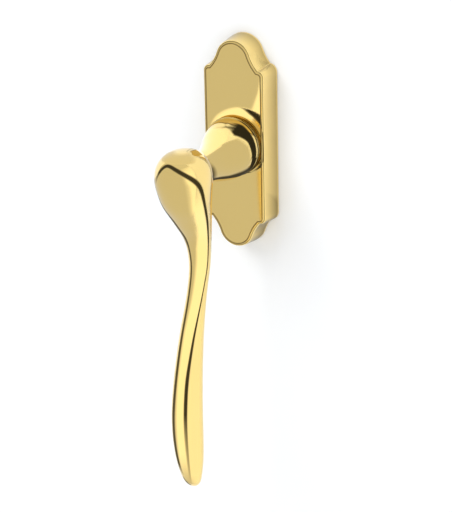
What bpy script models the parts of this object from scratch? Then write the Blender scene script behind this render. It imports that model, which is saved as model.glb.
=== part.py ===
"""Espagnolette window handle: a lever on a horn neck, turning a square spindle through a shaped plate.

Metres, +Z up, -Y out of the sash towards the hand. The origin is on the spindle axis, on the plane of the
sash that the plate is fixed to. Every turning piece has its origin on that axis.
"""
import math

import bmesh
import bpy
import numpy as np
from mathutils import Vector

MM = 0.001

# Cover plate: half outline from the straight side to the apex, and its section
PLATE_HALF_WIDTH = 15.5
PLATE_HALF_HEIGHT = 47.2
PLATE_DEPTH = 11.0
DOME_RADIUS = 9.35
DOME_SPAN_DEG = 70.5
COVE_RADIUS = 18.0
COVE_FOOT_DEG = 49.0
SHOULDER_RADIUS = 3.75
SIDE_DRAFT = 1.05
EDGE_RADIUS = 1.1
COVER_WALL = 1.2
NECK_HOLE_RADIUS = 8.5

# Lever: height, distance from the sash, half width across, depth over width
LEVER = [
    (10.6, 53.4, 0.0, 1.22),
    (10.2, 53.4, 3.4, 1.22),
    (9.0, 53.4, 6.7, 1.20),
    (6.7, 53.5, 9.3, 1.16),
    (3.2, 53.5, 11.2, 1.12),
    (-1.5, 53.5, 11.8, 1.09),
    (-7.5, 52.8, 11.2, 1.07),
    (-13.8, 51.2, 10.1, 1.05),
    (-19.1, 48.8, 8.8, 1.03),
    (-24.3, 46.4, 7.5, 1.01),
    (-30.0, 43.9, 6.1, 1.0),
    (-36.5, 42.5, 5.15, 1.0),
    (-44.0, 42.4, 4.6, 1.0),
    (-52.0, 44.3, 4.35, 1.0),
    (-60.0, 46.7, 4.55, 0.98),
    (-70.0, 49.8, 5.2, 0.92),
    (-82.0, 52.7, 6.0, 0.83),
    (-95.0, 54.9, 6.8, 0.74),
    (-108.0, 56.1, 7.3, 0.70),
    (-120.0, 55.9, 7.2, 0.68),
    (-130.5, 55.0, 6.3, 0.68),
    (-137.5, 54.0, 4.9, 0.70),
    (-142.0, 53.0, 2.9, 0.72),
    (-143.6, 52.5, 0.0, 0.72),
]
LEVER_RINGS = 46
LEVER_SEGMENTS = 40
SOCKET_RADIUS = 4.3
SOCKET_END = 50.4

# Neck: distance from the sash, drop of the centre, radius
NECK = [
    (12.1, 0.0, 12.5),
    (12.35, 0.0, 12.95),
    (12.9, 0.0, 13.1),
    (13.5, 0.0, 12.85),
    (15.0, -0.2, 12.5),
    (17.5, -0.8, 12.0),
    (20.5, -1.5, 11.1),
    (24.0, -2.1, 9.8),
    (28.0, -2.4, 8.5),
    (32.0, -2.3, 7.4),
    (36.5, -2.0, 6.6),
    (41.0, -1.8, 6.2),
    (46.0, -1.8, 6.2),
]
NECK_SEGMENTS = 48
JOINT_GAP = 0.3
SPIGOT_RADIUS = 4.0
SPIGOT_END = 50.0
SPIGOT_DROP = 1.8
SHANK_RADIUS = 8.0
SHANK_END = 3.5
GROOVE_RADIUS = 7.2
GROOVE = (4.15, 5.5)
SPINDLE_HOLE_END = 29.0

# Spindle and its pin
SPINDLE_HALF = 3.5
SPINDLE_FIT = 0.25
SPINDLE_REACH = 33.0
SPINDLE_START = 28.5
SPINDLE_CHAMFER = 0.6
PIN_RADIUS = 1.2
PIN_FIT = 0.3
PIN_HALF = 7.5
PIN_DEPTH = 7.9

# Base plate
BASE_HALF_WIDTH = 12.4
BASE_HALF_HEIGHT = 35.0
BASE_CORNER = 8.5
BASE_DEPTH = 8.6
BORE_RADIUS = 10.0
POCKET_HALF = (10.6, 12.0)
POCKET_DEPTH = 6.3
KEEPER_RECESS_HALF = (11.2, 16.0)
KEEPER_RECESS_DEPTH = 1.6
SCREW_CENTRES = 43.0
BOSS_RADIUS = 5.0
BOSS_LENGTH = 10.0
SCREW_HOLE_RADIUS = 2.8
CLIP_SLOT_HALF = 2.9
CLIP_SLOT = (3.9, 5.0)
CLIP_SLOT_DEPTH = 3.2

# Turned and pressed pieces: inner radius, outer radius, near depth, far depth
BUSH_BODY = (8.3, 9.7, 6.6, 8.9)
BUSH_FLANGE = (8.3, 11.2, 8.9, 9.5)
NECK_WASHER = (8.6, 11.8, 11.3, 11.8)
THRUST_WASHER = (8.3, 10.2, 5.5, 6.0)
RETAINING_RING = (7.5, 10.0, 4.4, 5.2)
RING_GAP_HALF = 2.2
CAM_HALF = 7.0
CAM_CORNER = 2.0
CAM = (1.7, 3.2)
SPRING_THICK = 0.5
SPRING_GAP = 0.3
SPRING_HALF_LENGTH = 11.2
KEEPER_HALF = (10.8, 15.6)
KEEPER = (0.7, 1.3)
KEEPER_HOLE_RADIUS = 5.6
RIVET_AT = (8.3, 13.9)
RIVET_HEAD_RADIUS = 1.8
RIVET_RADIUS = 0.9
RIVET_HEAD = (0.1, 0.4)
RIVET_END = 4.5

# Fixing screws, M5 countersunk
SCREW_HEAD_RADIUS = 4.6
SCREW_RADIUS = 2.4
SCREW_TOP = 8.3
SCREW_REACH = 34.0
CROSS_HALF = (2.3, 0.45)
CROSS_DEPTH = 1.9

# Cover clips: distance from the centre, depth
CLIP_PATH = [(32.3, 4.45), (36.8, 4.45), (40.8, 6.3), (42.8, 5.6), (42.6, 4.0), (41.6, 3.0)]
CLIP_HALF_WIDTH = 2.5
CLIP_THICK = 0.5

for old in list(bpy.data.objects):
    bpy.data.objects.remove(old, do_unlink=True)

handle = bpy.data.collections.new("espagnolette_window_handle")
bpy.context.scene.collection.children.link(handle)
cutters = bpy.data.collections.new("cutters")
bpy.context.scene.collection.children.link(cutters)


def material(name, colour, metallic, roughness):
    made = bpy.data.materials.new(name)
    made.use_nodes = True
    shader = made.node_tree.nodes["Principled BSDF"]
    shader.inputs["Base Color"].default_value = (*colour, 1.0)
    shader.inputs["Metallic"].default_value = metallic
    shader.inputs["Roughness"].default_value = roughness
    return made


def place(name, mesh, look=None):
    """An object in the handle's collection, or a hidden cutter if it has no material."""
    obj = bpy.data.objects.new(name, mesh)
    if look is None:
        cutters.objects.link(obj)
        obj.hide_render = True
        obj.display_type = "WIRE"
    else:
        handle.objects.link(obj)
        mesh.materials.append(look)
    return obj


def cut(obj, cutter, operation="DIFFERENCE"):
    boolean = obj.modifiers.new(cutter.name, "BOOLEAN")
    boolean.object = cutter
    boolean.operation = operation
    boolean.solver = "EXACT"


def loft(name, rings, look=None):
    """Skins a row of rings of equal length, in millimetres. A ring of one point is a pole."""
    mesh = bpy.data.meshes.new(name)
    build = bmesh.new()
    rows = [[build.verts.new(Vector(p) * MM) for p in ring] for ring in rings]
    for first, second in zip(rows[:-1], rows[1:]):
        count = max(len(first), len(second))
        for i in range(count):
            j = (i + 1) % count
            corners = []
            for row, index in ((first, i), (first, j), (second, j), (second, i)):
                vertex = row[index] if len(row) > 1 else row[0]
                if vertex not in corners:
                    corners.append(vertex)
            build.faces.new(corners)
    for row in (rows[0], rows[-1]):
        if len(row) > 1:
            build.faces.new(row)
    bmesh.ops.recalc_face_normals(build, faces=build.faces)
    build.to_mesh(mesh)
    build.free()
    return place(name, mesh, look)


def turned(name, loop, look=None, steps=48, at=(0.0, 0.0)):
    """Revolves a closed loop of (radius, depth) about the Y axis. Depth is measured out of the sash."""
    mesh = bpy.data.meshes.new(name)
    area = sum(a[0] * b[1] - b[0] * a[1] for a, b in zip(loop, loop[1:] + loop[:1]))
    if area < 0:
        loop = loop[::-1]
    points = [(r * MM, -depth * MM, 0.0) for r, depth in loop]
    closed = loop[0][0] > 0 or loop[-1][0] > 0
    edges = [(i, i + 1) for i in range(len(points) - 1)]
    if closed:
        edges.append((len(points) - 1, 0))
    mesh.from_pydata(points, edges, [])
    obj = place(name, mesh, look)
    obj.location = (at[0] * MM, 0.0, at[1] * MM)
    screw = obj.modifiers.new("turn", "SCREW")
    screw.axis = "Y"
    screw.steps = steps
    screw.render_steps = steps
    screw.use_merge_vertices = True
    screw.merge_threshold = 0.00001
    return obj


def ring(name, size, look=None, steps=48):
    inner, outer, near, far = size
    return turned(name, [(inner, near), (outer, near), (outer, far), (inner, far)], look, steps)


def rod(name, radius, near, far, look=None, steps=32, at=(0.0, 0.0)):
    return turned(name, [(0.0, near), (radius, near), (radius, far), (0.0, far)], look, steps, at)


def block(name, low, high, look=None, corner=0.0, axis="Y", segments=4):
    """A box from low to high in (x, depth, z), with its edges along one axis rounded."""
    mesh = bpy.data.meshes.new(name)
    x0, d0, z0 = low
    x1, d1, z1 = high
    build = bmesh.new()
    bmesh.ops.create_cube(build, size=1.0)
    middle = Vector(((x0 + x1) / 2, -(d0 + d1) / 2, (z0 + z1) / 2)) * MM
    size = Vector((x1 - x0, d1 - d0, z1 - z0)) * MM
    for vertex in build.verts:
        vertex.co = Vector([c * s for c, s in zip(vertex.co, size)]) + middle
    if corner:
        index = "XYZ".index(axis)
        edges = [
            e for e in build.edges
            if abs((e.verts[0].co - e.verts[1].co).normalized()[index]) > 0.9
        ]
        bmesh.ops.bevel(
            build, geom=edges, offset=corner * MM, segments=segments, profile=0.5, affect="EDGES",
        )
    bmesh.ops.recalc_face_normals(build, faces=build.faces)
    build.to_mesh(mesh)
    build.free()
    return place(name, mesh, look)


def spline(knots, values, where):
    """Natural cubic spline through the values, read at the given places."""
    knots = np.asarray(knots, float)
    values = np.asarray(values, float)
    count = len(knots)
    step = np.diff(knots)
    slope = np.diff(values) / step
    system = np.eye(count)
    right = np.zeros(count)
    for i in range(1, count - 1):
        system[i, i - 1] = step[i - 1]
        system[i, i] = 2 * (step[i - 1] + step[i])
        system[i, i + 1] = step[i]
        right[i] = 6 * (slope[i] - slope[i - 1])
    bend = np.linalg.solve(system, right)
    i = np.clip(np.searchsorted(knots, where) - 1, 0, count - 2)
    h = step[i]
    a = knots[i + 1] - where
    b = where - knots[i]
    return (
        (bend[i] * a**3 + bend[i + 1] * b**3) / (6 * h)
        + (values[i] / h - bend[i] * h / 6) * a
        + (values[i + 1] / h - bend[i + 1] * h / 6) * b
    )


def outline(inset):
    """Points of the plate's outline, drawn in by an inset, as (x, z) going round from the right side."""
    dome = np.array([0.0, PLATE_HALF_HEIGHT - DOME_RADIUS])
    span = math.radians(DOME_SPAN_DEG)
    foot = math.radians(COVE_FOOT_DEG)
    cove = dome + (DOME_RADIUS + COVE_RADIUS) * np.array([math.sin(span), math.cos(span)])
    from_cove = np.array([math.sin(foot), math.cos(foot)])
    kink = cove - COVE_RADIUS * from_cove
    turn = math.acos((kink[0] - PLATE_HALF_WIDTH + SHOULDER_RADIUS) / SHOULDER_RADIUS)
    centre = np.array([PLATE_HALF_WIDTH - SHOULDER_RADIUS, kink[1] - SHOULDER_RADIUS * math.sin(turn)])
    quarter = []
    for angle in np.linspace(0.0, turn, 6)[:-1]:
        away = np.array([math.cos(angle), math.sin(angle)])
        quarter.append(centre + (SHOULDER_RADIUS - inset) * away)
    both = np.array([math.cos(turn), math.sin(turn)]) + from_cove
    quarter.append(kink - inset * both / both.dot(from_cove))
    for angle in np.linspace(foot, span, 5)[1:]:
        quarter.append(cove - (COVE_RADIUS + inset) * np.array([math.sin(angle), math.cos(angle)]))
    for angle in np.linspace(span, 0.0, 8)[1:]:
        quarter.append(dome + (DOME_RADIUS - inset) * np.array([math.sin(angle), math.cos(angle)]))
    top = [tuple(p) for p in quarter] + [(-p[0], p[1]) for p in quarter[-2::-1]]
    return top + [(-x, -z) for x, z in top]


def plate_ring(inset, depth):
    return [(x, -depth, z) for x, z in outline(inset)]


def lever_shape(grow):
    """Level rings down the lever, from the pole of the head to the pole of the tip."""
    rows = np.array(LEVER)
    ends = [rows[2], rows[1]], [rows[-2], rows[-3]]
    rows = np.vstack([ends[0], rows, ends[1]])
    rows[:2, 2] *= -1
    rows[-2:, 2] *= -1
    along = np.concatenate([[0], np.cumsum(np.hypot(np.diff(rows[:, 0]), np.diff(rows[:, 2])))])
    start, stop = along[2], along[-3]
    where = np.linspace(0, 1, LEVER_RINGS + 1)
    where = start + (stop - start) * (where - 0.05 * np.sin(2 * math.pi * where))
    z, out, half, ratio = (spline(along, rows[:, c], where) for c in range(4))
    half = np.maximum(half, 0)
    rings = []
    for i in range(LEVER_RINGS + 1):
        if i in (0, LEVER_RINGS):
            rings.append([(0.0, -out[i], z[i] + (grow if i == 0 else -grow))])
            continue
        wide = half[i] + grow
        deep = half[i] * ratio[i] + grow
        turns = np.linspace(0, 2 * math.pi, LEVER_SEGMENTS, endpoint=False)
        rings.append([(wide * math.cos(t), -out[i] + deep * math.sin(t), z[i]) for t in turns])
    return rings


def neck_rings():
    rings = []
    turns = np.linspace(0, 2 * math.pi, NECK_SEGMENTS, endpoint=False)
    for out, drop, radius in NECK:
        rings.append([(radius * math.cos(t), -out, drop + radius * math.sin(t)) for t in turns])
    return rings


brass = material("polished_brass", (0.83, 0.64, 0.24), 1.0, 0.12)
neck_brass = material("neck_brass", (0.82, 0.63, 0.24), 1.0, 0.13)
cover_brass = material("cover_brass", (0.81, 0.62, 0.25), 1.0, 0.16)

# Lever, with the socket for the neck's spigot
lever = loft("lever", lever_shape(0.0), brass)
socket = rod("socket_cut", SOCKET_RADIUS, 36.0, SOCKET_END, at=(0.0, -SPIGOT_DROP))
cut(lever, socket)

# Neck, with its shank, spigot, spindle hole, groove and pin hole
neck = loft("neck", neck_rings(), neck_brass)
cut(neck, loft("head_cut", lever_shape(JOINT_GAP)))
shank = turned(
    "shank_add",
    [
        (0.0, SHANK_END),
        (SHANK_RADIUS - 0.4, SHANK_END),
        (SHANK_RADIUS, SHANK_END + 0.3),
        (SHANK_RADIUS, GROOVE[0]),
        (GROOVE_RADIUS, GROOVE[0]),
        (GROOVE_RADIUS, GROOVE[1]),
        (SHANK_RADIUS, GROOVE[1]),
        (SHANK_RADIUS, 14.0),
        (0.0, 14.0),
    ],
)
cut(neck, shank, "UNION")
cut(neck, rod("spigot_add", SPIGOT_RADIUS, 36.0, SPIGOT_END, at=(0.0, -SPIGOT_DROP)), "UNION")
hole = SPINDLE_HALF + SPINDLE_FIT
cut(neck, block("spindle_cut", (-hole, 1.0, -hole), (hole, SPINDLE_HOLE_END, hole)))
pin_cut = rod("pin_cut", PIN_RADIUS + PIN_FIT, -12.0, 12.0, steps=16)
pin_cut.rotation_euler = (0.0, 0.0, math.pi / 2)
pin_cut.location = (0.0, -PIN_DEPTH * MM, 0.0)
cut(neck, pin_cut)

# Spindle and its cross pin
steel = material("spindle_steel", (0.62, 0.62, 0.60), 1.0, 0.35)
half = SPINDLE_HALF
tip = half - SPINDLE_CHAMFER
spindle = loft(
    "spindle",
    [
        [(x * s, -d, z * s) for x, z in ((1, 1), (-1, 1), (-1, -1), (1, -1))]
        for d, s in (
            (SPINDLE_START, tip),
            (SPINDLE_START - SPINDLE_CHAMFER, half),
            (-SPINDLE_REACH + SPINDLE_CHAMFER, half),
            (-SPINDLE_REACH, tip),
        )
    ],
    steel,
)
cut(spindle, pin_cut)
pin_look = material("pin_steel", (0.5, 0.5, 0.5), 1.0, 0.3)
pin = rod("spindle_pin", PIN_RADIUS, -PIN_HALF, PIN_HALF, pin_look, 16)
pin.rotation_euler = (0.0, 0.0, math.pi / 2)
pin.location = (0.0, -PIN_DEPTH * MM, 0.0)

# Cover plate: outside down to the sash, back rim, then the inside up to its floor
deep = PLATE_DEPTH
rings = [plate_ring(0.0, 0.0), plate_ring(SIDE_DRAFT, deep - EDGE_RADIUS)]
for angle in np.radians([22.5, 45.0, 67.5, 90.0]):
    inset = SIDE_DRAFT + EDGE_RADIUS * (1 - math.cos(angle))
    rings.append(plate_ring(inset, deep - EDGE_RADIUS * (1 - math.sin(angle))))
cover = loft("cover_plate", rings, cover_brass)
inner = [plate_ring(COVER_WALL - 0.05, -1.0), plate_ring(COVER_WALL + SIDE_DRAFT, deep - COVER_WALL)]
cut(cover, loft("cover_inside_cut", inner))
cut(cover, rod("neck_hole_cut", NECK_HOLE_RADIUS, 5.0, 15.0, steps=48))

# Base plate
zinc = material("base_zinc", (0.55, 0.55, 0.56), 1.0, 0.5)
w, h = BASE_HALF_WIDTH, BASE_HALF_HEIGHT
base = block("base_plate", (-w, 0.0, -h), (w, BASE_DEPTH, h), zinc, BASE_CORNER)
for name, side in (("upper", 1), ("lower", -1)):
    far = side * (BASE_HALF_HEIGHT + 1.0)
    deep_end = side * (BASE_HALF_HEIGHT - CLIP_SLOT_DEPTH)
    slot = block(
        name + "_slot_cut",
        (-CLIP_SLOT_HALF, CLIP_SLOT[0], min(far, deep_end)),
        (CLIP_SLOT_HALF, CLIP_SLOT[1], max(far, deep_end)),
    )
    cut(base, slot)
w, h = KEEPER_RECESS_HALF
cut(base, block("recess_cut", (-w, -1.0, -h), (w, KEEPER_RECESS_DEPTH, h)))
w, h = POCKET_HALF
cut(base, block("pocket_cut", (-w, 1.0, -h), (w, POCKET_DEPTH, h)))
for i, (sx, sz) in enumerate(((1, 1), (-1, 1), (-1, -1), (1, -1))):
    at = (sx * RIVET_AT[0], sz * RIVET_AT[1])
    cut(base, rod("rivet_cut_%d" % (i + 1), RIVET_RADIUS + 0.3, 0.5, RIVET_END + 0.9, steps=16, at=at))
cut(base, rod("bore_cut", BORE_RADIUS, 4.3, BASE_DEPTH + 1.7, steps=48))
head_depth = SCREW_HEAD_RADIUS - SCREW_RADIUS
for name, side in (("upper", 1), ("lower", -1)):
    z = side * SCREW_CENTRES / 2
    boss = turned(
        name + "_boss_add",
        [
            (0.0, -BOSS_LENGTH),
            (BOSS_RADIUS - 0.5, -BOSS_LENGTH),
            (BOSS_RADIUS, -BOSS_LENGTH + 0.5),
            (BOSS_RADIUS, 2.0),
            (0.0, 2.0),
        ],
        steps=32,
        at=(0.0, z),
    )
    cut(base, boss, "UNION")
    flare = SCREW_TOP - head_depth
    hole_cut = turned(
        name + "_screw_cut",
        [
            (0.0, -BOSS_LENGTH - 1.0),
            (SCREW_HOLE_RADIUS, -BOSS_LENGTH - 1.0),
            (SCREW_HOLE_RADIUS, flare),
            (SCREW_HOLE_RADIUS + BASE_DEPTH + 1.0 - flare, BASE_DEPTH + 1.0),
            (0.0, BASE_DEPTH + 1.0),
        ],
        steps=28,
        at=(0.0, z),
    )
    cut(base, hole_cut)

# Bearing pieces
nylon = material("bush_nylon", (0.85, 0.84, 0.80), 0.0, 0.45)
inner_r, body_r, near, step = BUSH_BODY
flange_r, far = BUSH_FLANGE[1], BUSH_FLANGE[3]
turned(
    "bearing_bush",
    [(inner_r, near), (body_r, near), (body_r, step), (flange_r, step), (flange_r, far), (inner_r, far)],
    nylon,
)
ring("neck_washer", NECK_WASHER, material("washer_nylon", (0.80, 0.78, 0.72), 0.0, 0.5))
ring("thrust_washer", THRUST_WASHER, material("washer_steel", (0.60, 0.60, 0.58), 1.0, 0.35))
keeper_ring = ring("retaining_ring", RETAINING_RING, material("ring_steel", (0.35, 0.35, 0.36), 1.0, 0.4))
cut(keeper_ring, block("ring_gap_cut", (-RING_GAP_HALF, 3.5, -12.0), (RING_GAP_HALF, 6.2, -5.0)))

# Detent: square cam and two leaf springs
c = CAM_HALF
cam_look = material("cam_steel", (0.52, 0.52, 0.5), 1.0, 0.4)
cam = block("detent_cam", (-c, CAM[0], -c), (c, CAM[1], c), cam_look, CAM_CORNER)
cut(cam, block("cam_hole_cut", (-hole, 0.5, -hole), (hole, 4.5, hole)))
spring_steel = material("spring_steel", (0.42, 0.43, 0.45), 1.0, 0.3)
for name, side in (("detent_spring_left", -1), ("detent_spring_right", 1)):
    first = CAM_HALF + SPRING_GAP
    path = [(first + 2.1, -SPRING_HALF_LENGTH), (first + 0.6, -9.0), (first, -6.5)]
    path += [(x, -z) for x, z in reversed(path)]
    near, far = CAM
    sections = []
    for i, (x, z) in enumerate(path):
        before = np.array(path[max(i - 1, 0)])
        after = np.array(path[min(i + 1, len(path) - 1)])
        along = (after - before) / np.linalg.norm(after - before)
        across = np.array([along[1], -along[0]]) * SPRING_THICK
        corners = [(x, z), (x + across[0], z + across[1])]
        front = [(side * cx, -near, cz) for cx, cz in corners]
        back = [(side * cx, -far, cz) for cx, cz in reversed(corners)]
        sections.append(front + back)
    loft(name, sections, spring_steel)

# Keeper plate and rivets
w, h = KEEPER_HALF
keeper_look = material("keeper_steel", (0.58, 0.58, 0.57), 1.0, 0.4)
keeper = block("spring_keeper", (-w, KEEPER[0], -h), (w, KEEPER[1], h), keeper_look, 1.5)
cut(keeper, rod("keeper_hole_cut", KEEPER_HOLE_RADIUS, 0.0, 2.5))
rivet_look = material("rivet_steel", (0.66, 0.66, 0.66), 1.0, 0.35)
for i, (sx, sz) in enumerate(((1, 1), (-1, 1), (-1, -1), (1, -1))):
    at = (sx * RIVET_AT[0], sz * RIVET_AT[1])
    cut(keeper, rod("keeper_rivet_cut_%d" % (i + 1), RIVET_RADIUS + 0.3, 0.0, 2.5, steps=16, at=at))
    near, far = RIVET_HEAD
    turned(
        "keeper_rivet_%d" % (i + 1),
        [
            (0.0, near),
            (RIVET_HEAD_RADIUS, near),
            (RIVET_HEAD_RADIUS, far),
            (RIVET_RADIUS, far),
            (RIVET_RADIUS, RIVET_END),
            (0.0, RIVET_END),
        ],
        rivet_look,
        16,
        at,
    )

# Fixing screws, driven from the front under the cover
screw_look = material("screw_zinc", (0.70, 0.69, 0.64), 1.0, 0.3)
for name, side in (("upper", 1), ("lower", -1)):
    z = side * SCREW_CENTRES / 2
    screw = turned(
        name + "_fixing_screw",
        [
            (0.0, -SCREW_REACH),
            (SCREW_RADIUS - 0.7, -SCREW_REACH),
            (SCREW_RADIUS, -SCREW_REACH + 0.9),
            (SCREW_RADIUS, SCREW_TOP - head_depth),
            (SCREW_HEAD_RADIUS, SCREW_TOP),
            (0.0, SCREW_TOP),
        ],
        screw_look,
        24,
        (0.0, z),
    )
    long, short = CROSS_HALF
    low = SCREW_TOP - CROSS_DEPTH
    cut(screw, block(name + "_cross_a_cut", (-long, low, z - short), (long, SCREW_TOP + 1.0, z + short)))
    cut(screw, block(name + "_cross_b_cut", (-short, low, z - long), (short, SCREW_TOP + 1.0, z + long)))

# Cover clips: bent strips standing in the ends of the base plate
clip_look = material("clip_steel", (0.45, 0.46, 0.48), 1.0, 0.3)
for name, side in (("cover_clip_upper", 1), ("cover_clip_lower", -1)):
    sections = []
    for i, (z, d) in enumerate(CLIP_PATH):
        before = np.array(CLIP_PATH[max(i - 1, 0)])
        after = np.array(CLIP_PATH[min(i + 1, len(CLIP_PATH) - 1)])
        along = (after - before) / np.linalg.norm(after - before)
        across = np.array([-along[1], along[0]]) * CLIP_THICK / 2
        w = CLIP_HALF_WIDTH
        outer = (-(d + across[1]), side * (z + across[0]))
        inner_face = (-(d - across[1]), side * (z - across[0]))
        sections.append([(-w, *outer), (w, *outer), (w, *inner_face), (-w, *inner_face)])
    loft(name, sections, clip_look)
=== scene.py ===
"""Looks for the espagnolette window handle: polished brass lever, neck and plate on a white wall.

Shapes are given in millimetres, with x to the right, -y out of the wall and z up, as in the CAD.
"""
import math

import bmesh
import bpy
import numpy as np
from mathutils import Matrix, Vector


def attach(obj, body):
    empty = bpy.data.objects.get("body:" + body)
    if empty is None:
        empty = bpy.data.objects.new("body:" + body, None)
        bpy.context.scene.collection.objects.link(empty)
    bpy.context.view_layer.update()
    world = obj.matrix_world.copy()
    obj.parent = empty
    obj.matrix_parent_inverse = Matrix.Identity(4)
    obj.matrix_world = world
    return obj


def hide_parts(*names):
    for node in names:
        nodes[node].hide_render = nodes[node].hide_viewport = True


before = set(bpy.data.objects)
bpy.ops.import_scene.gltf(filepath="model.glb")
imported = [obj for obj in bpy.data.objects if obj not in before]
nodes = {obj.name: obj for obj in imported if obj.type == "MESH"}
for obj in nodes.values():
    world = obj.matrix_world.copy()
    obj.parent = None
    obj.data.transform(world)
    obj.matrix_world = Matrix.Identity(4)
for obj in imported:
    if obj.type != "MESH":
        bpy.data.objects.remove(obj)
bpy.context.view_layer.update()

MM = 0.001
TURN = 2 * math.pi
scene = bpy.context.scene

# ---------------------------------------------------------------- shapes, as in the CAD but finer

# Outline of the plate: a dome, a cove and a shoulder in each quarter
PLATE_HALF_WIDTH = 15.5
PLATE_HALF_HEIGHT = 47.2
DOME_RADIUS = 9.35
DOME_SPAN_DEG = 70.5
COVE_RADIUS = 18.0
COVE_FOOT_DEG = 49.0
SHOULDER_RADIUS = 3.75
SIDE_LEVELS = np.linspace(0.04, 0.98, 9)  # points up the straight side, as shares of its height
SHOULDER_POINTS, COVE_POINTS, DOME_POINTS = 30, 18, 42

# The cover is a pressed shell over that outline
PLATE_DEPTH = 11.0
SIDE_DRAFT = 1.05
EDGE_RADIUS = 1.1
COVER_WALL = 1.2
NECK_HOLE_RADIUS = 8.5
BACK_EDGE = [(0.25, 0.0), (0.07, 0.09), (0.02, 0.26)]  # inset, distance from the wall
SIDE_STEPS = np.linspace(0.1, 1.0, 8)  # shares of the way from the back edge to the rounding
ROUNDING_DEG = np.linspace(0.0, 90.0, 13)[1:]
GROOVE = [(0.10, 0.16), (0.34, 0.20), (0.50, 0.0)]  # inset from the rim of the face, how deep
FACE_STEPS = (0.04, 0.3, 0.6, 0.85, 1.0)  # shares of the way from the outline to the hole
GROOVE_SLOT = 1  # material slot of the groove in the cover, after the brass

# Lever: height, distance from the wall, half width across, depth over width
LEVER = [
    (10.6, 53.4, 0.0, 1.22),
    (10.2, 53.4, 3.4, 1.22),
    (9.0, 53.4, 6.7, 1.20),
    (6.7, 53.5, 9.3, 1.16),
    (3.2, 53.5, 11.2, 1.12),
    (-1.5, 53.5, 11.8, 1.09),
    (-7.5, 52.8, 11.2, 1.07),
    (-13.8, 51.2, 10.1, 1.05),
    (-19.1, 48.8, 8.8, 1.03),
    (-24.3, 46.4, 7.5, 1.01),
    (-30.0, 43.9, 6.1, 1.0),
    (-36.5, 42.5, 5.15, 1.0),
    (-44.0, 42.4, 4.6, 1.0),
    (-52.0, 44.3, 4.35, 1.0),
    (-60.0, 46.7, 4.55, 0.98),
    (-70.0, 49.8, 5.2, 0.92),
    (-82.0, 52.7, 6.0, 0.83),
    (-95.0, 54.9, 6.8, 0.74),
    (-108.0, 56.1, 7.3, 0.70),
    (-120.0, 55.9, 7.2, 0.68),
    (-130.5, 55.0, 6.3, 0.68),
    (-137.5, 54.0, 4.9, 0.70),
    (-142.0, 53.0, 2.9, 0.72),
    (-143.6, 52.5, 0.0, 0.72),
]
LEVER_RINGS = 230
LEVER_SEGMENTS = 96
POLE_CROWDING = 0.05  # how much closer the rings stand near both poles

# Neck: a grooved shank and the flange's back, as distance from the wall and radius, then the
# rolled rim of the flange, then the horn as distance from the wall, height and radius
SHANK = [
    (3.5, 7.6),
    (3.8, 8.0),
    (4.15, 8.0),
    (4.15, 7.2),
    (5.5, 7.2),
    (5.5, 8.0),
    (12.02, 8.0),
    (12.02, 12.0),
]
RIM_OUT, RIM_RADIUS, RIM_TUBE = 12.72, 12.35, 0.72
RIM_START_DEG, RIM_END_DEG, RIM_POINTS = -90, 62, 20
HORN = [
    (15.0, -0.2, 12.5),
    (17.5, -0.8, 12.0),
    (20.5, -1.5, 11.1),
    (24.0, -2.1, 9.8),
    (28.0, -2.4, 8.5),
    (32.0, -2.3, 7.4),
    (36.5, -2.0, 6.6),
    (41.0, -1.8, 6.2),
    (46.0, -1.8, 6.2),
]
HORN_RINGS = 90
NECK_SEGMENTS = 144
CORNER_DEG = 32  # edges sharper than this stay sharp


def mesh_object(name, build):
    mesh = bpy.data.meshes.new(name)
    bmesh.ops.recalc_face_normals(build, faces=build.faces)
    build.to_mesh(mesh)
    build.free()
    mesh.shade_smooth()
    obj = bpy.data.objects.new(name, mesh)
    scene.collection.objects.link(obj)
    return obj


def skin(build, rings, close_ends=True):
    """Joins rings of equal length. A ring of one point is a pole."""
    rows = [[build.verts.new(Vector(p) * MM) for p in ring] for ring in rings]
    for first, second in zip(rows[:-1], rows[1:]):
        count = max(len(first), len(second))
        for i in range(count):
            j = (i + 1) % count
            corners = []
            for row, index in ((first, i), (first, j), (second, j), (second, i)):
                vertex = row[index] if len(row) > 1 else row[0]
                if vertex not in corners:
                    corners.append(vertex)
            build.faces.new(corners)
    if close_ends:
        for row in (rows[0], rows[-1]):
            if len(row) > 1:
                build.faces.new(row)
    return rows


def bridge(build, first, second):
    """Joins two loops that have as many vertices."""
    for i in range(len(first)):
        j = (i + 1) % len(first)
        build.faces.new((first[i], first[j], second[j], second[i]))


def crisp(obj):
    """Keeps real corners sharp and flat faces flat, with smooth roundings between them."""
    obj.data.set_sharp_from_angle(angle=math.radians(CORNER_DEG))
    flat = obj.modifiers.new("flat_faces", "WEIGHTED_NORMAL")
    flat.keep_sharp = True
    return obj


def spline(knots, values, where):
    """Natural cubic spline through the values, read at the given places."""
    knots = np.asarray(knots, float)
    values = np.asarray(values, float)
    count = len(knots)
    step = np.diff(knots)
    slope = np.diff(values) / step
    system = np.eye(count)
    right_side = np.zeros(count)
    for i in range(1, count - 1):
        system[i, i - 1] = step[i - 1]
        system[i, i] = 2 * (step[i - 1] + step[i])
        system[i, i + 1] = step[i]
        right_side[i] = 6 * (slope[i] - slope[i - 1])
    bend = np.linalg.solve(system, right_side)
    i = np.clip(np.searchsorted(knots, where) - 1, 0, count - 2)
    h = step[i]
    a = knots[i + 1] - where
    b = where - knots[i]
    return (
        (bend[i] * a**3 + bend[i + 1] * b**3) / (6 * h)
        + (values[i] / h - bend[i] * h / 6) * a
        + (values[i + 1] / h - bend[i + 1] * h / 6) * b
    )


def path_length(rows):
    """How far each station lies along the profile that its first and third values draw."""
    return np.concatenate([[0], np.cumsum(np.hypot(np.diff(rows[:, 0]), np.diff(rows[:, 2])))])


def sine_cosine(angle):
    return np.array([math.sin(angle), math.cos(angle)])


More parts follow.
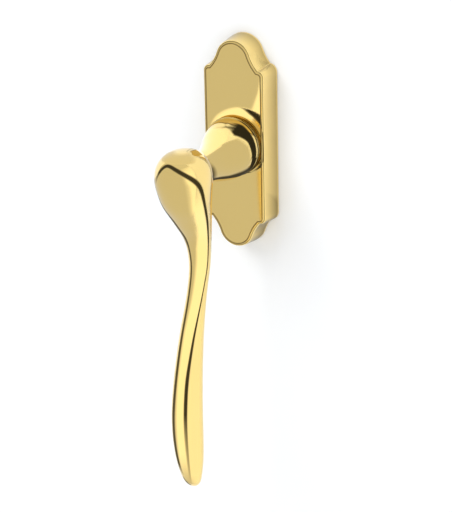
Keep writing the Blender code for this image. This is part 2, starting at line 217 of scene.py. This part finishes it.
def outline(inset):
    """The plate's outline drawn in by an inset, as (x, z), round from the right side."""
    dome = np.array([0.0, PLATE_HALF_HEIGHT - DOME_RADIUS])
    span = math.radians(DOME_SPAN_DEG)
    foot = math.radians(COVE_FOOT_DEG)
    cove = dome + (DOME_RADIUS + COVE_RADIUS) * sine_cosine(span)
    kink = cove - COVE_RADIUS * sine_cosine(foot)
    shoulder_x = PLATE_HALF_WIDTH - SHOULDER_RADIUS
    turn = math.acos((kink[0] - shoulder_x) / SHOULDER_RADIUS)
    shoulder = np.array([shoulder_x, kink[1] - SHOULDER_RADIUS * math.sin(turn)])
    quarter = [np.array([PLATE_HALF_WIDTH - inset, shoulder[1] * level]) for level in SIDE_LEVELS]
    for angle in np.linspace(0.0, turn, SHOULDER_POINTS)[:-1]:
        quarter.append(shoulder + (SHOULDER_RADIUS - inset) * sine_cosine(angle)[::-1])
    both = sine_cosine(turn)[::-1] + sine_cosine(foot)
    quarter.append(kink - inset * both / both.dot(sine_cosine(foot)))
    for angle in np.linspace(foot, span, COVE_POINTS)[1:]:
        quarter.append(cove - (COVE_RADIUS + inset) * sine_cosine(angle))
    for angle in np.linspace(span, 0.0, DOME_POINTS)[1:]:
        quarter.append(dome + (DOME_RADIUS - inset) * sine_cosine(angle))
    top = [tuple(p) for p in quarter] + [(-p[0], p[1]) for p in quarter[-2::-1]]
    return top + [(-x, -z) for x, z in top]


def plate_ring(inset, depth):
    """The plate's outline, drawn in by an inset, at a distance from the wall."""
    return [(x, -depth, z) for x, z in outline(inset)]


def lever_rings():
    """Level rings down the lever, from the pole of the head to the pole of the tip."""
    rows = np.array(LEVER)
    # Stations mirrored past each pole, so that the profile crosses its axis squarely
    rows = np.vstack([[rows[2], rows[1]], rows, [rows[-2], rows[-3]]])
    rows[:2, 2] *= -1
    rows[-2:, 2] *= -1
    length = path_length(rows)
    start, stop = length[2], length[-3]
    share = np.linspace(0, 1, LEVER_RINGS + 1)
    where = start + (stop - start) * (share - POLE_CROWDING * np.sin(TURN * share))
    height, out, half, ratio = (spline(length, rows[:, c], where) for c in range(4))
    half = np.maximum(half, 0)
    turns = np.linspace(0, TURN, LEVER_SEGMENTS, endpoint=False)
    rings = []
    for z, d, wide, deep in zip(height, out, half, half * ratio):
        rings.append([(wide * math.cos(t), -d + deep * math.sin(t), z) for t in turns])
    rings[0] = [(0.0, -out[0], height[0])]
    rings[-1] = [(0.0, -out[-1], height[-1])]
    return rings


def make_lever():
    build = bmesh.new()
    skin(build, lever_rings())
    return mesh_object("lever_polished", build)


def rim_station(degrees):
    """Distance from the wall, height and radius at an angle round the flange's rolled rim."""
    angle = math.radians(degrees)
    return RIM_OUT + RIM_TUBE * math.sin(angle), 0.0, RIM_RADIUS + RIM_TUBE * math.cos(angle)


def horn_stations():
    """Distances from the wall, heights and radii down the horn, from the rim on."""
    horn = np.array([rim_station(RIM_END_DEG)] + HORN)
    length = path_length(horn)
    where = np.linspace(0, length[-1], HORN_RINGS)
    return [spline(length, horn[:, c], where) for c in range(3)]


def make_neck():
    """Shank, flange with a rolled rim, then the drooping horn, run just into the lever's head."""
    turns = np.linspace(0, TURN, NECK_SEGMENTS, endpoint=False)
    stations = [(out, 0.0, radius) for out, radius in SHANK]
    stations += [rim_station(a) for a in np.linspace(RIM_START_DEG, RIM_END_DEG, RIM_POINTS)]
    stations += list(zip(*(values[1:] for values in horn_stations())))
    rings = []
    for out, middle, radius in stations:
        rings.append([(radius * math.cos(t), -out, middle + radius * math.sin(t)) for t in turns])
    build = bmesh.new()
    skin(build, rings)
    return crisp(mesh_object("neck_polished", build))


def make_cover():
    """Pressed shell: drafted side, rolled edge, grooved flat face with a round hole, and hollow."""
    side = PLATE_DEPTH - EDGE_RADIUS
    rim = SIDE_DRAFT + EDGE_RADIUS
    rings = [plate_ring(*station) for station in BACK_EDGE]
    inset, depth = BACK_EDGE[-1]
    for share in SIDE_STEPS:
        side_inset = inset + (SIDE_DRAFT - inset) * share
        rings.append(plate_ring(side_inset, depth + (side - depth) * share))
    for angle in np.radians(ROUNDING_DEG):
        rounding = EDGE_RADIUS * (1 - math.cos(angle))
        rings.append(plate_ring(SIDE_DRAFT + rounding, side + EDGE_RADIUS * math.sin(angle)))
    groove_start = len(rings) - 1
    for groove_inset, sunk in GROOVE:
        rings.append(plate_ring(rim + groove_inset, PLATE_DEPTH - sunk))
    count = len(rings[0])
    build = bmesh.new()
    outer = skin(build, rings, close_ends=False)
    build.faces.ensure_lookup_table()
    groove_end = groove_start + len(GROOVE) - 1
    for face in build.faces[groove_start * count : groove_end * count]:
        face.material_index = GROOVE_SLOT
    floor_inset, floor_depth = COVER_WALL + SIDE_DRAFT, PLATE_DEPTH - COVER_WALL
    hollow = [plate_ring(floor_inset, floor_depth), plate_ring(COVER_WALL, 0.0)]
    inner = skin(build, hollow, close_ends=False)
    bridge(build, outer[0], inner[-1])
    # Face and hollow floor, each from the outline to the round hole
    hole_edges = []
    for start, inset, depth in (
        (outer[-1], rim + GROOVE[-1][0], PLATE_DEPTH),
        (inner[0], floor_inset, floor_depth),
    ):
        rows = [start]
        ends = []
        for vertex in start:
            angle = math.atan2(vertex.co.z, vertex.co.x)
            ends.append((NECK_HOLE_RADIUS * math.cos(angle), NECK_HOLE_RADIUS * math.sin(angle)))
        for share in FACE_STEPS:
            row = []
            for (x, z), (end_x, end_z) in zip(outline(inset), ends):
                spot = Vector((x + (end_x - x) * share, -depth, z + (end_z - z) * share))
                row.append(build.verts.new(spot * MM))
            rows.append(row)
        for first, second in zip(rows[:-1], rows[1:]):
            bridge(build, first, second)
        hole_edges.append(rows[-1])
    bridge(build, *hole_edges)
    return crisp(mesh_object("cover_polished", build))


lever = make_lever()
neck = make_neck()
cover = make_cover()
for piece, node, body, slot in (
    (lever, "lever", "handle", "lever_brass"),
    (neck, "neck", "handle", "neck_brass"),
    (cover, "cover_plate", "plate", "cover_brass"),
):
    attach(piece, body)
    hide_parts(node)

# ---------------------------------------------------------------- materials

BRASS = (0.93, 0.70, 0.25)
LACQUER = 0.7
LACQUER_ROUGHNESS = 0.04
TINT_DRIFT = (0.965, 0.945, 0.90)  # how far the tint drifts from the colour, by channel
CLOUD_SCALE, TINT_SCALE = 95.0, 42.0  # per metre, of the uneven polish and the tint drift
CLOUD_RANGE = (0.3, 0.72)  # noise values that give the smoothest and the roughest polish
SCRATCH_HEIGHT = 0.02 * MM
SPECK_SCALE, SPECK_SHADE = 900.0, 0.9
SPECK_RELIEF, SPECK_HEIGHT = 0.25, 0.05 * MM
PLASTIC_ROUGHNESS = (0.38, 0.55)
BRUSHED = (1.0, 1.0, 0.16)  # a small scale draws the scratches out along that axis
BRUSHED_LONG = (1.0, 1.0, 0.12)
DRAWN = (1.0, 0.1, 1.0)
ROLLED = (0.1, 1.0, 1.0)
EVEN = (1.0, 1.0, 1.0)


def add_node(tree, kind, **values):
    """A new node, its properties and inputs set by name, with an underscore for a space."""
    made = tree.nodes.new(kind)
    for key, value in values.items():
        if hasattr(made, key):
            setattr(made, key, value)
        else:
            made.inputs[key.replace("_", " ")].default_value = value
    return made


def new_material(name):
    """A material with nodes, its tree, and the call that links its sockets."""
    made = bpy.data.materials.new(name)
    made.use_nodes = True
    return made, made.node_tree, made.node_tree.links.new


def colour_mix(tree, first, second):
    """A colour mix, as its node, its factor and its result."""
    made = add_node(tree, "ShaderNodeMix", data_type="RGBA")
    made.inputs[6].default_value = (*first, 1.0)
    made.inputs[7].default_value = (*second, 1.0)
    return made.inputs[0], made.outputs[2]


def set_range(made, start, stop, low, high):
    """Sets a range node to map start and stop to low and high."""
    for name, value in (("From Min", start), ("From Max", stop), ("To Min", low), ("To Max", high)):
        made.inputs[name].default_value = value


def metal(name, colour, rough, spread, grain, bump, brushed=BRUSHED, lacquer=0.0):
    """Metal with uneven polish: cloudy roughness, fine scratches one way, faint tint drift."""
    made, tree, link = new_material(name)
    shader = tree.nodes["Principled BSDF"]
    shader.inputs["Metallic"].default_value = 1.0
    shader.inputs["Roughness"].default_value = rough
    shader.inputs["Coat Weight"].default_value = lacquer
    shader.inputs["Coat Roughness"].default_value = LACQUER_ROUGHNESS
    place = add_node(tree, "ShaderNodeTexCoord").outputs["Object"]
    stretch = add_node(tree, "ShaderNodeMapping", Scale=brushed)
    link(place, stretch.inputs["Vector"])
    clouds = add_node(tree, "ShaderNodeTexNoise", Scale=CLOUD_SCALE, Detail=5.0, Roughness=0.6)
    scratch = add_node(tree, "ShaderNodeTexNoise", Scale=grain, Detail=3.0, Roughness=0.7)
    tint = add_node(tree, "ShaderNodeTexNoise", Scale=TINT_SCALE, Detail=2.0)
    link(place, clouds.inputs["Vector"])
    link(place, tint.inputs["Vector"])
    link(stretch.outputs["Vector"], scratch.inputs["Vector"])
    polish = add_node(tree, "ShaderNodeMapRange")
    set_range(polish, *CLOUD_RANGE, rough - spread, rough + spread)
    link(clouds.outputs["Fac"], polish.inputs["Value"])
    fine = add_node(tree, "ShaderNodeMath", operation="MULTIPLY_ADD")
    fine.inputs[1].default_value = spread
    link(scratch.outputs["Fac"], fine.inputs[0])
    link(polish.outputs["Result"], fine.inputs[2])
    link(fine.outputs["Value"], shader.inputs["Roughness"])
    drift, tinted = colour_mix(tree, colour, [c * d for c, d in zip(colour, TINT_DRIFT)])
    link(tint.outputs["Fac"], drift)
    link(tinted, shader.inputs["Base Color"])
    relief = add_node(tree, "ShaderNodeBump", Strength=bump, Distance=SCRATCH_HEIGHT)
    link(scratch.outputs["Fac"], relief.inputs["Height"])
    link(relief.outputs["Normal"], shader.inputs["Normal"])
    return made


def plastic(name, colour):
    """Moulded plastic with a fine speckle in its colour, gloss and relief."""
    made, tree, link = new_material(name)
    shader = tree.nodes["Principled BSDF"]
    place = add_node(tree, "ShaderNodeTexCoord")
    speck = add_node(tree, "ShaderNodeTexNoise", Scale=SPECK_SCALE, Detail=4.0)
    link(place.outputs["Object"], speck.inputs["Vector"])
    factor, shade = colour_mix(tree, colour, [c * SPECK_SHADE for c in colour])
    link(speck.outputs["Fac"], factor)
    link(shade, shader.inputs["Base Color"])
    rough = add_node(tree, "ShaderNodeMapRange")
    set_range(rough, 0.0, 1.0, *PLASTIC_ROUGHNESS)
    link(speck.outputs["Fac"], rough.inputs["Value"])
    link(rough.outputs["Result"], shader.inputs["Roughness"])
    relief = add_node(tree, "ShaderNodeBump", Strength=SPECK_RELIEF, Distance=SPECK_HEIGHT)
    link(speck.outputs["Fac"], relief.inputs["Height"])
    link(relief.outputs["Normal"], shader.inputs["Normal"])
    return made


def wear(obj, look):
    obj.data.materials.clear()
    obj.data.materials.append(look)


# Roughness, how far it spreads, scratches per metre and strength of their relief
wear(lever, metal("lever_brass", BRASS, 0.07, 0.02, 2600.0, 0.05, lacquer=LACQUER))
wear(neck, metal("neck_brass", BRASS, 0.07, 0.02, 2600.0, 0.05, lacquer=LACQUER))
# The cover's slots are filled in order and not cleared, which would lose the groove's faces
for look in (
    metal("cover_brass", BRASS, 0.09, 0.025, 2600.0, 0.06, BRUSHED_LONG, LACQUER),
    # Painted shade: the groove's brass is coloured dark brown, and it is polished less
    metal("groove_painted_shade", (0.34, 0.25, 0.10), 0.38, 0.08, 2600.0, 0.2),
):
    cover.data.materials.append(look)
for look, names in (
    (
        metal("base_zinc", (0.55, 0.55, 0.56), 0.48, 0.08, 1400.0, 0.5, EVEN),
        ["base_plate"],
    ),
    (
        metal("hard_steel", (0.60, 0.60, 0.58), 0.34, 0.06, 1800.0, 0.3, DRAWN),
        ["spindle", "spindle_pin", "detent_cam"],
    ),
    (
        metal("plate_steel", (0.60, 0.60, 0.59), 0.36, 0.06, 1500.0, 0.3, ROLLED),
        ["thrust_washer", "spring_keeper"] + ["keeper_rivet_%d" % i for i in (1, 2, 3, 4)],
    ),
    (
        metal("spring_steel", (0.40, 0.42, 0.46), 0.30, 0.05, 1800.0, 0.2),
        [
            "retaining_ring",
            "detent_spring_left",
            "detent_spring_right",
            "cover_clip_upper",
            "cover_clip_lower",
        ],
    ),
    (
        metal("screw_zinc", (0.70, 0.69, 0.62), 0.28, 0.06, 1500.0, 0.2, EVEN),
        ["upper_fixing_screw", "lower_fixing_screw"],
    ),
    (
        plastic("nylon", (0.85, 0.84, 0.80)),
        ["bearing_bush", "neck_washer"],
    ),
):
    for name in names:
        wear(nodes[name], look)

# ---------------------------------------------------------------- camera

AZIMUTH, ELEVATION, ROLL = (math.radians(a) for a in (29.8, 21.6, -1.23))
AIM_RIGHT, AIM_UP = -8.8, -50.8  # where the camera aims, in its own directions
CAMERA_DISTANCE = 903.6
FOCAL_LENGTH, SENSOR_WIDTH = 147.66, 36.0
CLIP_START = 0.01  # in metres

towards = Vector(
    (
        math.sin(AZIMUTH) * math.cos(ELEVATION),
        -math.cos(AZIMUTH) * math.cos(ELEVATION),
        math.sin(ELEVATION),
    )
)
level_right = Vector((math.cos(AZIMUTH), math.sin(AZIMUTH), 0.0))
level_up = towards.cross(level_right)
right = math.cos(ROLL) * level_right + math.sin(ROLL) * level_up
up = math.cos(ROLL) * level_up - math.sin(ROLL) * level_right
aim = (AIM_RIGHT * right + AIM_UP * up) * MM
camera_data = bpy.data.cameras.new("camera")
camera = bpy.data.objects.new("camera", camera_data)
scene.collection.objects.link(camera)
camera.location = aim + CAMERA_DISTANCE * MM * towards
camera.rotation_euler = Matrix((right, up, towards)).transposed().to_euler()
camera_data.sensor_width = SENSOR_WIDTH
camera_data.lens = FOCAL_LENGTH
camera_data.clip_start = CLIP_START
scene.camera = camera

# ---------------------------------------------------------------- studio

scene.view_settings.view_transform = "Standard"


def stage_mesh(name, verts, faces, look):
    mesh = bpy.data.meshes.new(name)
    mesh.from_pydata([tuple(v) for v in verts], [], faces)
    mesh.materials.append(look)
    obj = bpy.data.objects.new(name, mesh)
    scene.collection.objects.link(obj)
    return obj


def loop_faces(length, loops=2):
    """Quads between closed loops of as many points."""
    return [
        (
            k * length + i,
            k * length + (i + 1) % length,
            (k + 1) * length + (i + 1) % length,
            (k + 1) * length + i,
        )
        for k in range(loops - 1)
        for i in range(length)
    ]


def grid_faces(rows, width):
    """Quads between open rows of as many points."""
    return [
        (i * width + k, i * width + k + 1, (i + 1) * width + k + 1, (i + 1) * width + k)
        for i in range(rows - 1)
        for k in range(width - 1)
    ]


def mix_material(name, factor, first, second):
    """A mix of two shaders by a factor, each given as a node's kind, its output and its values."""
    made, tree, link = new_material(name)
    tree.nodes.clear()
    out = add_node(tree, "ShaderNodeOutputMaterial")
    mix = add_node(tree, "ShaderNodeMixShader")
    for slot, (kind, output, values) in enumerate((factor, first, second)):
        link(add_node(tree, kind, **values).outputs[output], mix.inputs[slot])
    link(mix.outputs[0], out.inputs["Surface"])
    return made


CLEAR = ("ShaderNodeBsdfTransparent", 0, {})


def flat_light(name, level):
    """A soft-edged card of a set brightness, for dark flags and bright panels."""
    fade = ("ShaderNodeAttribute", "Fac", {"attribute_name": "fade"})
    glow = ("ShaderNodeEmission", 0, {"Color": (1.0, 1.0, 1.0, 1.0), "Strength": level})
    return mix_material(name, fade, CLEAR, glow)


def white_board():
    """White board that is clear from behind."""
    backfacing = ("ShaderNodeNewGeometry", "Backfacing", {})
    white = ("ShaderNodeBsdfDiffuse", 0, {"Color": (0.885, 0.90, 0.92, 1.0)})
    return mix_material("white_board", backfacing, white, CLEAR)


# The wall is cut away behind the plate, so that light reaches the back of the handle too
WALL_REACH = 4000.0
WALL_CUT_INSET, WALL_GAP = 1.0, 0.2
FLOOR_REACH, FLOOR_HEIGHT = 3.0, -0.6  # in metres

board = white_board()
wall_cut = plate_ring(WALL_CUT_INSET, -WALL_GAP)
reach = [WALL_REACH / math.hypot(x, z) for x, y, z in wall_cut]
wall_points = [(x * MM, y * MM, z * MM) for x, y, z in wall_cut]
wall_points += [(x * r * MM, y * MM, z * r * MM) for (x, y, z), r in zip(wall_cut, reach)]
stage_mesh("wall", wall_points, [face[::-1] for face in loop_faces(len(wall_cut))], board)
floor_signs = ((-1, -1), (1, -1), (1, 1), (-1, 1))
floor_points = [(x * FLOOR_REACH, y * FLOOR_REACH, FLOOR_HEIGHT) for x, y in floor_signs]
floor = stage_mesh("floor", floor_points, [(0, 1, 2, 3)], board)
floor.visible_glossy = False

# Soft lights aimed at the handle: place and side in metres, power in watts
for name, spot, side, power in (
    ("key", (-0.9, -1.9, 1.8), 1.6, 33.0),
    ("fill", (0.9, -2.4, 0.4), 2.2, 5.0),
):
    lamp_data = bpy.data.lights.new(name, "AREA")
    lamp_data.shape = "SQUARE"
    lamp_data.size = side
    lamp_data.energy = power
    lamp = bpy.data.objects.new(name, lamp_data)
    scene.collection.objects.link(lamp)
    lamp.location = spot
    lamp.rotation_euler = Vector(spot).to_track_quat("Z", "Y").to_euler()
    lamp.visible_glossy = False

# World: an even front, brighter to the right and lower right, a set level overhead, dimmer behind
FRONT, RIGHT, OVERHEAD = 0.69, 1.25, 0.78
RIGHT_RAMP = (0.15, 0.90)
LOW_SHARE = 0.45  # how much a low direction counts as a right one
OVERHEAD_START = math.sin(math.radians(57))
OVERHEAD_RAMP = (OVERHEAD_START - 0.05, OVERHEAD_START + 0.02)
BEHIND_RAMP, BEHIND_SHARE = (0.15, 0.75), 0.55


def make_world():
    """Gives the world a brightness by direction, from its constants above."""
    world = bpy.data.worlds.new("studio")
    scene.world = world
    world.use_nodes = True
    tree = world.node_tree
    link = tree.links.new
    background = tree.nodes["Background"]
    facing = add_node(tree, "ShaderNodeTexCoord").outputs["Generated"]

    def lean(*axis):
        # How far a direction leans towards an axis, from -1 to 1
        dot = add_node(tree, "ShaderNodeVectorMath", operation="DOT_PRODUCT")
        link(facing, dot.inputs[0])
        dot.inputs[1].default_value = axis
        return dot.outputs["Value"]

    def maths(kind, *values):
        made = add_node(tree, "ShaderNodeMath", operation=kind)
        for place, value in enumerate(values):
            if isinstance(value, (int, float)):
                made.inputs[place].default_value = value
            else:
                link(value, made.inputs[place])
        return made.outputs[0]

    def ramp(value, start, stop, low, high):
        made = add_node(tree, "ShaderNodeMapRange", interpolation_type="SMOOTHSTEP")
        set_range(made, start, stop, low, high)
        link(value, made.inputs["Value"])
        return made.outputs["Result"]

    raised = lean(0.0, 0.0, 1.0)
    lowered = maths("MAXIMUM", maths("MULTIPLY", raised, -1.0), 0.0)
    sideways = maths("ADD", lean(1.0, 0.0, 0.0), maths("MULTIPLY", lowered, LOW_SHARE))
    level = add_node(tree, "ShaderNodeMix", data_type="FLOAT")
    link(ramp(raised, *OVERHEAD_RAMP, 0.0, 1.0), level.inputs[0])
    link(ramp(sideways, *RIGHT_RAMP, FRONT, RIGHT), level.inputs[2])
    level.inputs[3].default_value = OVERHEAD
    behind = ramp(lean(0.0, 1.0, 0.0), *BEHIND_RAMP, 1.0, BEHIND_SHARE)
    background.inputs["Color"].default_value = (1.0, 1.0, 1.0, 1.0)
    link(maths("MULTIPLY", level.outputs[0], behind), background.inputs["Strength"])


make_world()

# ---------------------------------------------------------------- cards and flags

# They stand close to the brass and are seen only in it. Each is hung where the surface mirrors it
# to the camera, from a few rounded places on the surface, and stays there when the handle turns.
DIFFERENCE = 0.3  # mm or degrees to either side, for the direction that a surface faces
RIBBON_DISTANCE = 4
RIBBON_EDGE = ((-1.3, 0.0), (-0.7, 1.0), (0.7, 1.0), (1.3, 0.0))  # share of half width, strength
RIBBON_END = 6  # rows over which a ribbon fades in and out
RIBBON_ROWS = 90
PANEL_COLUMNS = 17

inner_rings = lever_rings()[1:-1]
heights = np.array([ring[0][2] for ring in inner_rings])
centres = np.array([-sum(p[1] for p in ring) / len(ring) for ring in inner_rings])
widths = np.array([max(p[0] for p in ring) for ring in inner_rings])
depths = np.array([max(-p[1] for p in ring) for ring in inner_rings]) - centres
horn_out, horn_middle, horn_radius = horn_stations()


def on_lever(height, turn):
    """Point of the lever at a height and a section angle: 0 is right, -90 is the front."""
    angle = math.radians(turn)
    out, wide, deep = (np.interp(-height, -heights, values) for values in (centres, widths, depths))
    return Vector((wide * math.cos(angle), -out + deep * math.sin(angle), height))


def on_neck(turn, out):
    """Point of the neck at an angle, 0 right and 90 up, and a distance from the wall."""
    angle = math.radians(turn)
    middle, radius = (np.interp(out, horn_out, values) for values in (horn_middle, horn_radius))
    return Vector((radius * math.cos(angle), -out, middle + radius * math.sin(angle)))


def along_neck(out, turn):
    """The same point of the neck, for a card that runs along it."""
    return on_neck(turn, out)


def on_face(height, across):
    """Point of the plate's face at a height and a distance to the right."""
    return Vector((across, -PLATE_DEPTH, height))


def mirrored(surface, u, v, distance):
    """The point at a distance from the surface that the camera sees mirrored there."""
    spot = surface(u, v)
    ray = (spot - camera.location / MM).normalized()
    one = surface(u + DIFFERENCE, v) - surface(u - DIFFERENCE, v)
    other = surface(u, v + DIFFERENCE) - surface(u, v - DIFFERENCE)
    normal = one.cross(other).normalized()
    return spot + distance * (ray - 2 * ray.dot(normal) * normal)


def card(name, verts, faces, fades, look):
    """A card seen only in reflections, with a strength from 0 to 1 at each point."""
    obj = stage_mesh(name, [v * MM for v in verts], faces, look)
    obj.visible_camera = False
    obj.visible_diffuse = False
    obj.visible_shadow = False
    obj.visible_transmission = False
    obj.visible_volume_scatter = False
    soft = obj.data.attributes.new("fade", "FLOAT", "POINT")
    soft.data.foreach_set("value", np.clip(fades, 0.0, 1.0))


def ribbon(name, surface, places, look):
    """A strip through the given (u, v, width), soft along both edges and at both ends."""
    places = np.array(places, float)
    knots = np.arange(len(places))
    where = np.linspace(0, len(places) - 1, RIBBON_ROWS)
    u, v, width = (spline(knots, places[:, c], where) for c in range(3))
    middle = [mirrored(surface, a, b, RIBBON_DISTANCE) for a, b in zip(u, v)]
    verts, fades = [], []
    for i in range(RIBBON_ROWS):
        run = middle[min(i + 1, RIBBON_ROWS - 1)] - middle[max(i - 1, 0)]
        side = run.cross(middle[i] - surface(u[i], v[i])).normalized() * width[i] / 2
        end = min(1.0, i / RIBBON_END, (RIBBON_ROWS - 1 - i) / RIBBON_END)
        for share, strength in RIBBON_EDGE:
            verts.append(middle[i] + share * side)
            fades.append(strength * end)
    card(name, verts, grid_faces(RIBBON_ROWS, len(RIBBON_EDGE)), fades, look)


def panel(name, surface, places, look, distance, soft, rows):
    """A card through the given (u, first v, last v).

    It is soft over the given shares of its start, its end, its first side and its last side.
    """
    places = np.array(places, float)
    knots = np.arange(len(places))
    where = np.linspace(0, len(places) - 1, rows)
    u, first, last = (np.interp(where, knots, places[:, c]) for c in range(3))
    verts, fades = [], []
    for i in range(rows):
        down = i / (rows - 1)
        lengthwise = min(down / soft[0], (1 - down) / soft[1], 1)
        for k in range(PANEL_COLUMNS):
            over = k / (PANEL_COLUMNS - 1)
            v = first[i] + (last[i] - first[i]) * over
            verts.append(mirrored(surface, u[i], v, distance))
            fades.append(lengthwise * min(over / soft[2], (1 - over) / soft[3], 1))
    card(name, verts, grid_faces(rows, PANEL_COLUMNS), fades, look)


black = flat_light("black_flag", 0.03)
line_shade = flat_light("line_shade", 0.05)
under_shade = flat_light("under_shade", 0.06)
dark = flat_light("dark_flag", 0.10)
grey = flat_light("grey_card", FRONT)
soft_light = flat_light("soft_card", 0.82)
pale = flat_light("pale_card", 1.18)
bright = flat_light("bright_card", 1.3)

# Ribbons on the lever: height, section angle, width
LINE = [
    (-2, -128, 1.2),
    (5, -112, 2.0),
    (7, -92, 2.6),
    (5, -62, 3.2),
    (0, -30, 3.2),
    (-8, -16, 2.2),
    (-20, -8, 1.7),
    (-36, -12, 1.3),
    (-52, -25, 1.3),
    (-68, -48, 2.0),
    (-84, -66, 2.7),
    (-100, -74, 2.9),
    (-138, -74, 1.8),
]
LEFT = [
    (1, -146, 0.7),
    (-12, -130, 1.3),
    (-25, -112, 1.6),
    (-60, -112, 2.4),
    (-95, -125, 3.1),
    (-120, -129, 3.0),
    (-138, -120, 2.4),
]
TIP = [(-137.5, -124, 0.6), (-140, -112, 1.6), (-141.5, -97, 1.8), (-142, -82, 0.8)]
ribbon("line_flag", on_lever, LINE, line_shade)
ribbon("left_flag", on_lever, LEFT, dark)
ribbon("tip_flag", on_lever, TIP, dark)

# Panels on the lever: height, first and last section angle
LEFT_CARD = [
    (-4, -46, -26),
    (-12, -46, -17),
    (-22, -50, -13),
    (-28, -58, -14),
    (-34, -76, -16),
    (-44, -90, -22),
    (-56, -96, -34),
    (-70, -110, -55),
    (-90, -117, -73),
    (-140, -119, -77),
]
HEAD_GREY = [
    (6, -106, -70),
    (3, -120, -52),
    (-1, -144, -42),
    (-6, -149, -40),
    (-14, -148, -42),
    (-22, -146, -44),
    (-28, -140, -50),
    (-34, -128, -70),
    (-42, -118, -86),
]
RIGHT_CARD = [(-60, -28, -5), (-80, -58, -8), (-95, -69, -8), (-143, -72, -8)]
TOP_CARD = [(7.4, -150, -20), (9, -175, -5), (10.4, -175, -5)]

# Panels round the neck: angle, first and last distance from the wall
NECK_FLAG = [
    (85, 16, 19),
    (60, 14, 21),
    (30, 14, 18),
    (-30, 14, 17),
    (-60, 13.8, 17),
    (-100, 13.6, 17.5),
    (-150, 13.6, 17.5),
]
NECK_GREY = [(70, 27, 44), (50, 20, 43), (20, 17.5, 41), (-30, 17, 40), (-40, 16, 40)]
NECK_END = [(45, 39.5, 45.5), (10, 37.5, 45.5), (-30, 35.5, 45.5), (-52, 34.5, 45.5)]
NECK_BRIGHT = [(160, 16, 34), (120, 16, 42), (80, 19, 44), (64, 23, 44)]

# Panel along the neck: distance from the wall, first and last angle
NECK_UNDER = [(15, -14, -56), (19, -24, -52), (28, -31, -50), (36, -31, -50), (41, -26, -50)]

# Panel on the plate's face: height, first and last distance to the right
WEDGE = [(15, 7.0, 14), (19, 9.0, 14), (25, 11.6, 14), (33, 12.8, 14)]

# Name, surface, places, look, distance, soft shares and rows
for row in (
    ("left_card", on_lever, LEFT_CARD, bright, 5, (0.1, 0.03, 0.25, 0.05), 120),
    ("head_grey", on_lever, HEAD_GREY, grey, 6, (0.1, 0.15, 0.02, 0.1), 60),
    ("right_card", on_lever, RIGHT_CARD, pale, 5.5, (0.2, 0.05, 0.05, 0.2), 60),
    ("neck_flag", on_neck, NECK_FLAG, black, 4.5, (0.12, 0.03, 0.1, 0.1), 60),
    ("neck_grey", on_neck, NECK_GREY, grey, 5, (0.08, 0.05, 0.05, 0.05), 60),
    ("neck_under", along_neck, NECK_UNDER, under_shade, 3.5, (0.1, 0.05, 0.35, 0.05), 60),
    ("neck_end", on_neck, NECK_END, dark, 2.5, (0.3, 0.03, 0.35, 0.03), 60),
    ("neck_bright", on_neck, NECK_BRIGHT, bright, 5, (0.1, 0.05, 0.1, 0.04), 60),
    ("top_card", on_lever, TOP_CARD, soft_light, 6, (0.15, 0.15, 0.1, 0.1), 60),
    ("face_card", on_face, WEDGE, bright, 12, (0.05, 0.3, 0.3, 0.05), 60),
):
    panel(*row)

# A dark band that follows the plate's edge, seen only in its rounding: lean from the face's own
# direction towards the side's, and strength there
EDGE_BAND = ((28, 0.0), (42, 1.0), (62, 1.0), (78, 0.0))
EDGE_BAND_DISTANCE = 4.0
EDGE_MIDDLE_INSET, EDGE_MIDDLE_DEPTH = 1.0, PLATE_DEPTH - 0.5
band, band_fades = [], []
for lean_deg, strength in EDGE_BAND:
    angle = math.radians(lean_deg)
    inset = EDGE_MIDDLE_INSET - EDGE_BAND_DISTANCE * math.sin(angle)
    ring = plate_ring(inset, EDGE_MIDDLE_DEPTH + EDGE_BAND_DISTANCE * math.cos(angle))
    band += [Vector(p) for p in ring]
    band_fades += [strength] * len(ring)
band_faces = loop_faces(len(ring), len(EDGE_BAND))
card("edge_flag", band, band_faces, band_fades, flat_light("edge_shade", 0.16))

# A shade just off the wall round the plate, seen in the plate's side and darkest at its lower end
SHADE_DEPTH = 0.4
SHADE_NEAR, SHADE_FAR = -0.3, -7.0  # insets, so outside the plate
SHADE_LOW, SHADE_ELSEWHERE = 1.0, 0.6
near, far = plate_ring(SHADE_NEAR, SHADE_DEPTH), plate_ring(SHADE_FAR, SHADE_DEPTH)
lower_end = -PLATE_HALF_HEIGHT / 2
shade_fades = [SHADE_LOW if z < lower_end else SHADE_ELSEWHERE for x, y, z in near]
shade_fades += [0.0] * len(far)
shade_points = [Vector(p) for p in near + far]
foot_shade = flat_light("foot_shade", 0.3)
card("foot_flag", shade_points, loop_faces(len(near)), shade_fades, foot_shade)
